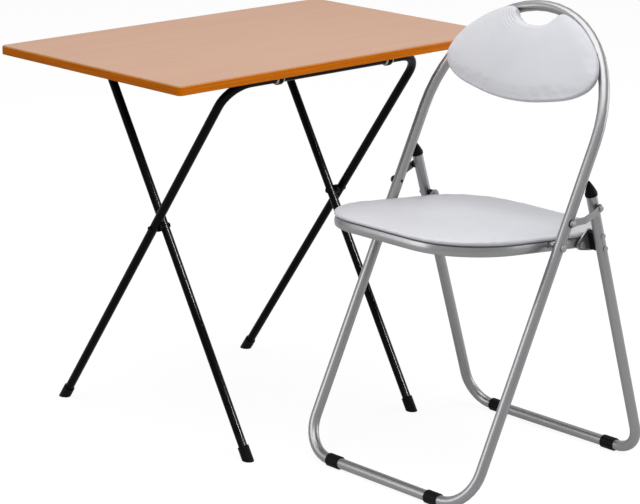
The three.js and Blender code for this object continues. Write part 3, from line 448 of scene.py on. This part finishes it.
def silver_enamel(chair):
    """Silver enamel: fine flakes, slight drifts of tone and a few rubbed spots."""
    f = Finish("silver_enamel")
    flake = f.cells(1900.0)
    drift = f.cloud(f.place(), scale=9.0)
    rub = f.cloud(f.stretched(1.0, 1.0, 0.5), scale=70.0, detail=5.0, rough=0.65)
    rub = rub.ramp(0.60, 0.80)
    flake_share, drift_share, rub_share, flake_dark = 0.30, 0.25, 0.22, 0.80
    tone = flake.ramp(0.15, 0.75) * flake_share + drift.ramp(0.35, 0.7) * drift_share
    coat = f.blend(tone + rub * rub_share, chair.silver, darker(chair.silver, flake_dark))
    worn = (1.0 - f.height().ramp(*SILVER_WEAR)) * rub
    worn_share, worn_grey = 0.4, linear(96, 92, 88)
    ripple = f.bump(drift, strength=0.04, distance=0.0006)
    return f.surface(
        base_color=f.blend(worn * worn_share, coat, worn_grey),
        metallic=0.76 - rub * 0.12,
        roughness=0.27 + rub * 0.12 + drift * 0.05,
        normal=f.bump(flake, strength=0.03, distance=0.0001, under=ripple),
    )


def bright_zinc(chair):
    """Bright zinc on screws, bolts and rivets: small crystals and darker stains."""
    f = Finish("bright_zinc")
    spangle = f.cells(520.0)
    stain = f.cloud(f.place(), scale=160.0, detail=4.0).ramp(0.50, 0.75)
    spangle_share, stain_share, stain_grey = 0.35, 0.35, linear(118, 116, 110)
    tone = spangle.ramp(0.1, 0.8) * spangle_share + stain * stain_share
    return f.surface(
        base_color=f.blend(tone, chair.zinc, stain_grey),
        metallic=0.95 - stain * 0.15,
        roughness=0.26 + stain * 0.18,
        normal=f.bump(spangle, strength=0.06, distance=0.0002),
    )


def moulded_black(chair):
    """Moulded black plastic with a fine spark texture and grey scuffs near the floor."""
    f = Finish("moulded_black_plastic")
    spark = f.cells(1300.0)
    scuff = f.cloud(f.stretched(1.0, 1.0, 2.6), scale=120.0, detail=5.0, rough=0.7)
    scuff = scuff.ramp(0.52, 0.74)
    worn = (1.0 - f.height().ramp(*SLEEVE_SCUFF)) * scuff
    dents = f.bump(scuff, strength=0.06, distance=0.0003)
    worn_share, scuff_share, scuff_grey = 0.25, 0.05, linear(70, 68, 66)
    tone = worn * worn_share + scuff * scuff_share
    return f.surface(
        base_color=f.blend(tone, chair.plastic, scuff_grey),
        specular_ior_level=0.1,
        roughness=0.44 + spark * 0.10 + worn * 0.2,
        normal=f.bump(spark, strength=0.10, distance=0.0002, under=dents),
    )


def pale_nylon(desk):
    """Pale nylon bushes with flow marks."""
    f = Finish("pale_nylon_bush")
    flow = f.cloud(f.stretched(1.0, 1.0, 3.0), scale=90.0)
    flow_share, flow_shade = 0.4, linear(188, 182, 168)
    return f.surface(
        base_color=f.blend(flow.ramp(0.4, 0.8) * flow_share, desk.nylon, flow_shade),
        roughness=0.38 + flow * 0.1,
        subsurface_weight=0.08,
        normal=f.bump(flow, strength=0.05, distance=0.0003),
    )


def notch_puckers(f, crease):
    """Rings of small puckers beside the notch of the back pad, where the cover is gathered."""
    centre = (PUCKER_ASIDE, BACK_CREST_UP - BACK_CENTRE_UP, BOARD_FRONT + PUCKER_LIFT)
    centre = back_matrix() @ Vector(centre)
    away = f.node("ShaderNodeVectorMath", {"operation": "SUBTRACT"}, {0: f.place(), 1: centre})
    reach = f.node("ShaderNodeVectorMath", {"operation": "LENGTH"}, {0: away}, "Value")
    aside = f.node("ShaderNodeSeparateXYZ", {}, {0: away}, "Y")
    rings = f.math("SINE", reach * PUCKERS_PER_METRE + crease * PUCKER_WANDER)
    return rings * aside.ramp(*PUCKER_START_ASIDE) * (1.0 - reach.ramp(*PUCKER_REACH))


def smooth_vinyl(chair):
    """Pale vinyl cover: a fine leather grain, soft hand creases with painted shade along them,
    random darker patches and a slight sheen on top.
    """
    f = Finish("pale_vinyl_cover")
    grain = f.cells(950.0, "DISTANCE_TO_EDGE")
    pebble = f.cloud(f.place(), scale=640.0, detail=2.0)
    crease = f.cloud(f.stretched(1.0, 0.55, 1.0), scale=26.0, detail=5.0, rough=0.6, bent=1.2)
    broad = f.cloud(f.place(), scale=7.0, detail=2.0)
    # Painted shade: the vinyl's colour darkens along the crease lines
    fold = 1.0 - abs(crease - 0.5).ramp(0.0, 0.05)
    broad_share, crease_shade_share, pebble_share = 0.40, 0.10, 0.08
    tone = broad.ramp(0.35, 0.75) * broad_share + fold * crease_shade_share
    tone = tone + pebble.ramp(0.5, 0.8) * pebble_share
    fine = f.bump(grain.ramp(0.0, 0.16) + pebble * 0.4, strength=0.10, distance=0.00015)
    fine = f.bump(notch_puckers(f, crease), strength=0.4, distance=0.0008, under=fine)
    return f.surface(
        base_color=f.blend(tone, chair.vinyl, chair.vinyl_patch_and_crease_shade),
        roughness=0.40 + broad * 0.08 + fold * 0.04,
        coat_weight=0.10,
        coat_roughness=0.35,
        normal=f.bump(crease, strength=0.10, distance=0.0012, under=fine),
    )


desk_makers = (matte_sheet, lacquered_edge, gloss_enamel, pale_nylon)
finishes = {}


def finish_of(maker):
    """A material made once and used by every piece of its kind."""
    if maker.__name__ not in finishes:
        scene = bpy.context.scene
        colours = scene.desk_finish if maker in desk_makers else scene.chair_finish
        finishes[maker.__name__] = maker(colours)
    return finishes[maker.__name__]


def even_shading():
    """Geometry nodes that shade round faces smoothly and keep real edges sharp."""
    name = "even_shading"
    if name in bpy.data.node_groups:
        return bpy.data.node_groups[name]
    tree = bpy.data.node_groups.new(name, "GeometryNodeTree")
    for way in ("INPUT", "OUTPUT"):
        tree.interface.new_socket("Geometry", in_out=way, socket_type="NodeSocketGeometry")
    g = Nodes(tree)
    start = g.node("NodeGroupInput", {}, {})
    clean = g.node("GeometryNodeRemoveAttribute", {}, {0: start, "Name": "custom_normal"})
    smooth = g.node("GeometryNodeSetShadeSmooth", {"domain": "FACE"}, {0: clean})
    angle = g.node("GeometryNodeInputMeshEdgeAngle", {}, {})
    sharp = g.node(
        "FunctionNodeCompare",
        {"data_type": "FLOAT", "operation": "GREATER_THAN"},
        {0: angle, 1: SHARP_ANGLE},
    )
    edges = {0: smooth, "Selection": sharp, "Shade Smooth": False}
    keep = g.node("GeometryNodeSetShadeSmooth", {"domain": "EDGE"}, edges)
    g.node("NodeGroupOutput", {}, {0: keep})
    return tree


def dress(names, maker, arris=0.0):
    """Gives CAD nodes their finish, softly broken edges and even shading."""
    for name in names:
        piece = frame["nodes"][name]
        piece.data.materials.clear()
        piece.data.materials.append(finish_of(maker))
        weld = piece.modifiers.new("weld", "WELD")
        weld.merge_threshold = WELD_GAP
        if arris:
            bevel = piece.modifiers.new("arris", "BEVEL")
            bevel.width = arris
            bevel.segments = 2
            bevel.limit_method = "ANGLE"
            bevel.angle_limit = ARRIS_ANGLE
        shade = piece.modifiers.new("shade", "NODES")
        shade.node_group = even_shading()
        if arris:
            flat = piece.modifiers.new("flat", "WEIGHTED_NORMAL")
            flat.keep_sharp = True


def pairs(*stems):
    """Both names of each piece that has a left and a right one."""
    return [f"{stem}_{side}" for stem in stems for side in ("left", "right")]


def evened(points, count):
    """A closed line walked again in even steps."""
    line = np.vstack([points, points[:1]])
    steps = np.hypot(*np.diff(line, axis=0).T)
    walked = np.concatenate([[0], np.cumsum(steps)])
    places = np.linspace(0, walked[-1], count, endpoint=False)
    return np.stack([np.interp(places, walked, line[:, axis]) for axis in range(2)], 1)


def line_through(points, steps, closed=False):
    """A smooth line that passes every point."""
    line = np.array(points, float)
    ends = (line[-1:], line[:2]) if closed else (line[:1], line[-1:])
    line = np.vstack([ends[0], line, ends[1]])
    t = np.linspace(0, 1, steps, endpoint=False)[:, None]
    parts = []
    for a, b, c, d in zip(line, line[1:], line[2:], line[3:]):
        bend = (2 * a - 5 * b + 4 * c - d) * t**2 + (3 * b - a - 3 * c + d) * t**3
        parts.append(b + 0.5 * ((c - a) * t + bend))
    if not closed:
        parts.append(line[-1:])
    return np.vstack(parts)


def seat_outline(share):
    """The seat's eight-sided plan with its rounded corners."""
    corners = [Vector(corner) for corner in SEAT_CORNERS]
    out = []
    for i, corner in enumerate(corners):
        ends = []
        for other in (corners[i - 1], corners[(i + 1) % len(corners)]):
            half = (corner - other).length / 2
            ends.append(corner.lerp(other, min(SEAT_CORNER_REACH, half) / (2 * half)))
        for step in range(CORNER_STEPS + 1):
            part = step / CORNER_STEPS
            near = ends[0].lerp(corner, part)
            far = corner.lerp(ends[1], part)
            out.append(tuple(near.lerp(far, part)))
    return evened(np.array(out), SEAT_COLUMNS) * SEAT_GROW * share


def back_outline(share):
    """The back's outline about its own centre. The notch fades towards the middle."""
    fade = min(1.0, ((1 - min(share, 1.0)) / NOTCH_FADE_SHARE) ** NOTCH_FADE_POWER)
    lift = [(x, up + (BACK_CREST_UP - up) * fade) for x, up in NOTCH_HALF + [NOTCH_BOTTOM]]
    right = BACK_HALF + lift
    left = [(-x, up) for x, up in right[1:-1][::-1]]
    points = [(x, up - BACK_CENTRE_UP) for x, up in right + left]
    return evened(line_through(points, OUTLINE_STEPS, closed=True), BACK_COLUMNS) * share


def ring_mesh(rings):
    """Points and faces of a closed form through flat rings, its ends closed by rows of quads."""
    count = len(rings[0][0])
    points = [(x, y, height) for outline, height in rings for x, y in outline]
    faces = []
    for row in range(len(rings) - 1):
        for i in range(count):
            after = (i + 1) % count
            low, high = row * count, (row + 1) * count
            faces.append((low + i, low + after, high + after, high + i))
    for row, turn in ((0, -1), (len(rings) - 1, 1)):
        first = row * count
        for i in range(count // 2 - 1):
            quad = (first + i, first + i + 1, first + count - 2 - i, first + count - 1 - i)
            faces.append(quad[::turn])
    return points, faces


def object_of(name, points, faces):
    """A new mesh object in the scene."""
    mesh = bpy.data.meshes.new(name)
    mesh.from_pydata([tuple(point) for point in points], [], faces)
    mesh.update()
    made = bpy.data.objects.new(name, mesh)
    bpy.context.scene.collection.objects.link(made)
    return made


def settled(piece):
    """Applies every modifier on a piece."""
    graph = bpy.context.evaluated_depsgraph_get()
    mesh = bpy.data.meshes.new_from_object(piece.evaluated_get(graph))
    piece.modifiers.clear()
    old, piece.data = piece.data, mesh
    bpy.data.meshes.remove(old)


def corners_of(mesh):
    """A mesh's vertices as rows of x, y and z."""
    values = np.zeros(len(mesh.vertices) * 3)
    mesh.vertices.foreach_get("co", values)
    return values.reshape(-1, 3)


def filled(rings, pads, base):
    """Fills a closed bag of a pad's form like foam. Gives its points and how far each moves."""
    bag = object_of("bag", *ring_mesh(rings))
    remesh = bag.modifiers.new("remesh", "REMESH")
    remesh.mode = "VOXEL"
    remesh.voxel_size = pads.voxel
    settled(bag)
    start = corners_of(bag.data)
    held = bag.vertex_groups.new(name="held")
    for index, level in enumerate(start[:, 2] - base):
        held.add([index], float(np.clip(1 - (level - HELD_BELOW) / HELD_FADE, 0, 1)), "REPLACE")
    cloth = bag.modifiers.new("cloth", "CLOTH")
    settings = cloth.settings
    settings.vertex_group_mass = "held"
    settings.use_pressure = True
    settings.uniform_pressure_force = 4
    settings.mass = 0.25
    settings.quality = 4
    settings.tension_stiffness = 18
    settings.compression_stiffness = 18
    settings.bending_stiffness = 3
    settings.effector_weights.gravity = 0
    cloth.point_cache.frame_end = pads.steps
    for step in range(1, pads.steps + 1):
        bpy.context.scene.frame_set(step)
    graph = bpy.context.evaluated_depsgraph_get()
    moved = corners_of(bag.evaluated_get(graph).data) - start
    bpy.context.scene.frame_set(1)
    bpy.data.objects.remove(bag)
    reach = np.linalg.norm(moved, axis=1, keepdims=True)
    capped = pads.swell * np.tanh(reach / pads.swell)
    return start, moved * capped / np.maximum(reach, LEAST_MOVE)


def swollen(points, bag):
    """Points moved as the nearest places on the filled bag moved."""
    start, moved = bag
    tree = KDTree(len(start))
    for index, point in enumerate(start):
        tree.insert(point, index)
    tree.balance()
    out = points.copy()
    for index, point in enumerate(points):
        near = tree.find_n(point, NEIGHBOURS)
        weights = np.array([1 / (gap + NEIGHBOUR_SOFTEN) for _, _, gap in near])
        move = sum(moved[k] * w for (_, k, _), w in zip(near, weights)) / weights.sum()
        out[index] += move
    return out


def waved(points, base, waves, depth):
    """Points with soft waves over the top of the cover. The offset gives each cover its own."""
    out = points.copy()
    for index, (x, y, z) in enumerate(points):
        rise = min(1.0, max(0.0, (z - base - WAVES_ABOVE) / WAVES_FADE))
        place = Vector((x * waves + base * WAVE_OFFSET, y * waves, base * WAVE_OFFSET))
        out[index, 2] += rise * depth * noise.noise(place)
    return out


def cover(name, node, body, outline_at, profile, base, waves, matrix):
    """A filled cover over a pad: a hem that wraps the edge below, a round side and a crown."""
    pads = bpy.context.scene.pad_shape
    dense = [(share, base + high) for share, high in line_through(profile, PROFILE_STEPS)]
    rings = [(outline_at(share), height) for share, height in dense]
    points, faces = ring_mesh(rings)
    points = np.array(points)
    foot = [(outline_at(BAG_FOOT_SHARE), base)]
    bag = foot + [ring for ring in rings if ring[1] > base + BAG_START]
    points = swollen(points, filled(bag, pads, base))
    piece = object_of(name, waved(points, base, waves, pads.wave), faces)
    piece.data.materials.append(finish_of(smooth_vinyl))
    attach(piece, body)
    piece.data.transform(matrix)
    for polygon in piece.data.polygons:
        polygon.use_smooth = True
    even = piece.modifiers.new("even", "SUBSURF")
    even.levels = even.render_levels = 1
    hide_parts(node)


def seat_matrix():
    """From the seat's own plane to the set: across, to the rear, and up."""
    across = Vector((0, -1, 0))
    rear = Vector((math.cos(SEAT_TILT), 0, -math.sin(SEAT_TILT)))
    up = Vector((math.sin(SEAT_TILT), 0, math.cos(SEAT_TILT)))
    turn = Matrix((across, rear, up)).transposed().to_4x4()
    return Matrix.Translation(seat_pivot - up * PAN_RISE) @ turn


def back_matrix():
    """From the back's own plane to the set: across, up the tubes, and to the front."""
    across = Vector((0, -1, 0))
    up = Vector((math.sin(MAIN_LEAN), 0, math.cos(MAIN_LEAN)))
    front = Vector((-math.cos(MAIN_LEAN), 0, math.sin(MAIN_LEAN)))
    turn = Matrix((across, up, front)).transposed().to_4x4()
    return Matrix.Translation(seat_pivot + up * (BACK_CENTRE_UP - SEAT_PIVOT_UP)) @ turn


class FOLDSET_OT_desk_top(Operator):
    """Board with its lacquered edge and the matte work sheet"""

    bl_idname = "foldset.desk_top"
    bl_label = "Desk Top"

    def execute(self, context):
        dress(["desk_top_board"], lacquered_edge, arris=0.0003)
        dress(["desk_top_laminate"], matte_sheet, arris=0.0002)
        return {"FINISHED"}


class FOLDSET_OT_desk_frames(Operator):
    """Two bent-tube frames in gloss black"""

    bl_idname = "foldset.desk_frames"
    bl_label = "Desk Frames"

    def execute(self, context):
        dress(["desk_outer_frame", "desk_inner_frame"], gloss_enamel)
        return {"FINISHED"}


class FOLDSET_OT_desk_fittings(Operator):
    """Hinge straps, bushes, clips, screws, crossing bolts, spacers and feet"""

    bl_idname = "foldset.desk_fittings"
    bl_label = "Desk Fittings"

    def execute(self, context):
        dress(pairs("desk_hinge_strap", "desk_pivot_bolt"), gloss_enamel, arris=0.0003)
        dress(pairs("desk_hinge_bush"), pale_nylon, arris=0.0003)
        screws = pairs("desk_hinge_screw_front", "desk_hinge_screw_back")
        dress(screws, bright_zinc, arris=0.0002)
        black = pairs("desk_bar_clip", "desk_pivot_spacer", "desk_foot_outer", "desk_foot_inner")
        dress(black, moulded_black, arris=0.0004)
        return {"FINISHED"}


class FOLDSET_OT_chair_frames(Operator):
    """Main loop and rear frame in silver enamel"""

    bl_idname = "foldset.chair_frames"
    bl_label = "Chair Frames"

    def execute(self, context):
        dress(["chair_main_frame", "chair_rear_frame"], silver_enamel)
        return {"FINISHED"}


class FOLDSET_OT_chair_fittings(Operator):
    """Links, brackets, rivets, bolts, screws, washers, bushes and blocks"""

    bl_idname = "foldset.chair_fittings"
    bl_label = "Chair Fittings"

    def execute(self, context):
        dress(pairs("chair_link", "chair_rear_bracket"), silver_enamel, arris=0.0004)
        zinc = pairs(
            "chair_link_lower_rivet", "chair_link_upper_rivet", "chair_seat_bolt",
            "chair_bracket_rivet_upper", "chair_bracket_rivet_lower", "chair_rear_bolt",
            "chair_back_screw",
        )
        dress(zinc, bright_zinc, arris=0.0003)
        black = pairs("chair_link_lower_washer", "chair_link_upper_washer", "chair_rear_bush")
        dress(black, moulded_black, arris=0.0002)
        dress(pairs("chair_rear_block"), moulded_black, arris=0.0005)
        return {"FINISHED"}


class FOLDSET_OT_chair_feet(Operator):
    """Sleeves that the chair stands on, and caps on the rear legs"""

    bl_idname = "foldset.chair_feet"
    bl_label = "Chair Feet and Caps"

    def execute(self, context):
        dress(pairs("chair_front_sleeve", "chair_rear_sleeve"), moulded_black, arris=0.0005)
        dress(pairs("chair_rear_cap"), moulded_black)
        return {"FINISHED"}


class FOLDSET_OT_seat_pan(Operator):
    """Pressed pan with its rolled rim"""

    bl_idname = "foldset.seat_pan"
    bl_label = "Seat Pan"

    def execute(self, context):
        dress(["chair_seat_pan"], silver_enamel)
        return {"FINISHED"}


class FOLDSET_OT_seat_pad(Operator):
    """Filled seat pad with a hem that wraps the rim of the pan"""

    bl_idname = "foldset.seat_pad"
    bl_label = "Seat Pad"

    def execute(self, context):
        pads = context.scene.pad_shape
        edge, crown = pads.seat_edge, pads.seat_crown
        # Each point of the profile: share of the outline, then height
        profile = [
            (0.5, 0), (0.9, 0), (0.955, 0), (0.968, 0.0002), (0.980, 0.0005), (0.990, 0.0011),
            (0.997, 0.0024), (1.0, edge * 0.45), (0.998, edge * 0.70), (0.988, edge * 0.92),
            (0.968, edge), (0.93, edge + crown * 0.13), (0.85, edge + crown * 0.32),
            (0.7, edge + crown * 0.58), (0.5, edge + crown * 0.80), (0.28, edge + crown * 0.95),
            (0.08, edge + crown), (0.02, edge + crown),
        ]
        cover(
            "seat_pad_cover", "chair_seat_pad", "chair_seat", seat_outline, profile,
            base=PAN_RIM_HALF + FIT, waves=SEAT_WAVES, matrix=seat_matrix(),
        )
        return {"FINISHED"}


class FOLDSET_OT_back_pad(Operator):
    """Backing board and filled back pad with its hand notch"""

    bl_idname = "foldset.back_pad"
    bl_label = "Back Pad"

    def execute(self, context):
        pads = context.scene.pad_shape
        dress(["chair_back_board"], moulded_black, arris=0.0003)
        edge, crown = pads.back_edge, pads.back_crown
        wrap = BOARD_DEPTH - BOARD_WRAP_LEFT_BARE
        # Each point of the profile: share of the outline, then height
        profile = [
            (0.5, 0), (0.9, 0), (0.9705, 0), (0.9715, -wrap * 0.7), (0.976, -wrap),
            (0.983, -wrap * 0.92), (0.992, -wrap * 0.3), (0.999, edge * 0.25),
            (1.0, edge * 0.55), (0.993, edge * 0.80), (0.979, edge * 0.96), (0.955, edge * 1.05),
            (0.91, edge + crown * 0.20), (0.8, edge + crown * 0.42), (0.65, edge + crown * 0.66),
            (0.45, edge + crown * 0.85), (0.25, edge + crown * 0.97), (0.08, edge + crown),
            (0.02, edge + crown),
        ]
        cover(
            "back_pad_cover", "chair_back_pad", "chair_frame", back_outline, profile,
            base=BOARD_FRONT + BOARD_DEPTH + FIT, waves=BACK_WAVES, matrix=back_matrix(),
        )
        return {"FINISHED"}


def studio_floor():
    """Pale floor that stays near white to the camera and keeps a light shadow."""
    f = Finish("studio_floor")
    soft = f.cloud(f.place(), scale=0.6, detail=2.0)
    tone = f.blend(soft * 0.3, FLOOR_PALE, FLOOR_DARKER)
    shader = f.node("ShaderNodeBsdfDiffuse", {}, {"Color": tone})
    glow = f.node("ShaderNodeEmission", {}, {"Color": WHITE, "Strength": FLOOR_GLOW})
    share = f.background_seen() * FLOOR_GLOW_SHARE
    mixed = f.node("ShaderNodeMixShader", {}, {0: share, 1: shader, 2: glow})
    f.node("ShaderNodeOutputMaterial", {}, {"Surface": mixed})
    return f.material


def lay_floor():
    """A large plain floor, which isn't part of the set."""
    mesh = bpy.data.meshes.new("floor")
    grid = bmesh.new()
    bmesh.ops.create_grid(grid, x_segments=8, y_segments=8, size=FLOOR_HALF)
    grid.to_mesh(mesh)
    grid.free()
    floor = bpy.data.objects.new("floor", mesh)
    floor.data.materials.append(studio_floor())
    bpy.context.scene.collection.objects.link(floor)


def light_world(studio):
    """Even light on the set, and white where the camera sees past the floor."""
    world = bpy.data.worlds.new("studio")
    bpy.context.scene.world = world
    world.use_nodes = True
    w = Nodes(world.node_tree)
    levels = {"Value": w.background_seen(), "To Min": studio.sky, "To Max": 1.0}
    strength = w.node("ShaderNodeMapRange", {}, levels)
    sky = w.node("ShaderNodeBackground", {}, {"Color": WHITE, "Strength": strength})
    w.node("ShaderNodeOutputWorld", {}, {"Surface": sky})


def lit_pieces(name, starts, wanted=True):
    """Groups the meshes whose names start so, or all others, for a lamp of their own."""
    group = bpy.data.collections.new(name)
    for piece in bpy.context.scene.objects:
        if piece.type == "MESH" and piece.name.startswith(starts) == wanted:
            group.objects.link(piece)
    return group


def lamp(name, place, size, power, lights=None, aim=ROOM_MIDDLE):
    """A soft oblong lamp that faces a point, and lights one group or everything."""
    data = bpy.data.lights.new(name, "AREA")
    data.shape = "RECTANGLE"
    data.size, data.size_y = size
    data.energy = power
    made = bpy.data.objects.new(name, data)
    made.location = place
    made.rotation_mode = "QUATERNION"
    made.rotation_quaternion = (Vector(aim) - Vector(place)).to_track_quat("-Z", "Y")
    bpy.context.scene.collection.objects.link(made)
    if lights:
        made.light_linking.receiver_collection = lights


def place_lamps(studio):
    """Large lamps above, each for one half of the set, and smaller ones from the sides."""
    desk = lit_pieces("desk_and_floor", ("desk", "floor"))
    chair = lit_pieces("chair_alone", ("desk", "floor"), wanted=False)
    tubes = lit_pieces("desk_tubes", ("desk_outer_frame", "desk_inner_frame"))
    lamp("desk_key", DESK_KEY_PLACE, KEY_SIZE, studio.key, desk)
    lamp("chair_key", CHAIR_KEY_PLACE, KEY_SIZE, studio.key, chair)
    lamp("fill_lamp", FILL_PLACE, FILL_SIZE, studio.fill)
    lamp("side_lamp", SIDE_PLACE, SIDE_SIZE, studio.side, chair)
    lamp("line_lamp", LINE_PLACE, LINE_SIZE, studio.line, tubes, LINE_AIM)


def place_camera(studio):
    """Camera at the photograph's viewing angle."""
    view = bpy.data.cameras.new("photo_view")
    view.lens = studio.lens
    view.sensor_width = SENSOR_WIDTH
    view.clip_end = VIEW_END
    camera = bpy.data.objects.new("photo_view", view)
    level = math.cos(studio.pitch)
    ahead = Vector((
        math.cos(studio.azimuth) * level, math.sin(studio.azimuth) * level,
        -math.sin(studio.pitch),
    ))
    right = ahead.cross(Vector((0, 0, 1))).normalized()
    up = right.cross(ahead)
    side = right * math.cos(studio.roll) + up * math.sin(studio.roll)
    top = up * math.cos(studio.roll) - right * math.sin(studio.roll)
    turn = Matrix((side, top, -ahead)).transposed().to_4x4()
    camera.matrix_world = Matrix.Translation(Vector(studio.place)) @ turn
    bpy.context.scene.collection.objects.link(camera)
    bpy.context.scene.camera = camera


class FOLDSET_OT_stage(Operator):
    """Floor, world, lamps and camera"""

    bl_idname = "foldset.stage"
    bl_label = "Studio"

    def execute(self, context):
        studio = context.scene.studio_setup
        lay_floor()
        light_world(studio)
        place_lamps(studio)
        place_camera(studio)
        context.scene.view_settings.view_transform = "Standard"
        return {"FINISHED"}


# The stage comes last, because its lamps are given the pieces that they light
piece_operators = (
    FOLDSET_OT_desk_top,
    FOLDSET_OT_desk_frames,
    FOLDSET_OT_desk_fittings,
    FOLDSET_OT_chair_frames,
    FOLDSET_OT_chair_fittings,
    FOLDSET_OT_chair_feet,
    FOLDSET_OT_seat_pan,
    FOLDSET_OT_seat_pad,
    FOLDSET_OT_back_pad,
    FOLDSET_OT_stage,
)
settings_groups = {
    "desk_finish": DeskFinish,
    "chair_finish": ChairFinish,
    "pad_shape": PadShape,
    "studio_setup": StudioSetup,
}


class FOLDSET_PT_pieces(Panel):
    """Lists the pieces of the set"""

    bl_label = "Desk Set"
    bl_idname = "FOLDSET_PT_pieces"
    bl_space_type = "VIEW_3D"
    bl_region_type = "UI"
    bl_category = "Desk Set"

    def draw(self, context):
        for operator in piece_operators:
            self.layout.operator(operator.bl_idname)
        for settings in settings_groups:
            group = getattr(context.scene, settings)
            box = self.layout.box()
            for field in group.bl_rna.properties.keys():
                if field not in ("rna_type", "name"):
                    box.prop(group, field)


classes = (*settings_groups.values(), *piece_operators, FOLDSET_PT_pieces)


def register():
    """Adds the classes to Blender and the settings to the scene."""
    for item in classes:
        bpy.utils.register_class(item)
    for name, group in settings_groups.items():
        setattr(bpy.types.Scene, name, PointerProperty(type=group))


def unregister():
    """Takes back what register added."""
    for name in settings_groups:
        delattr(bpy.types.Scene, name)
    for item in reversed(classes):
        bpy.utils.unregister_class(item)


def main():
    register()
    for operator in piece_operators:
        group, name = operator.bl_idname.split(".")
        getattr(getattr(bpy.ops, group), name)()


if __name__ == "__main__":
    main()
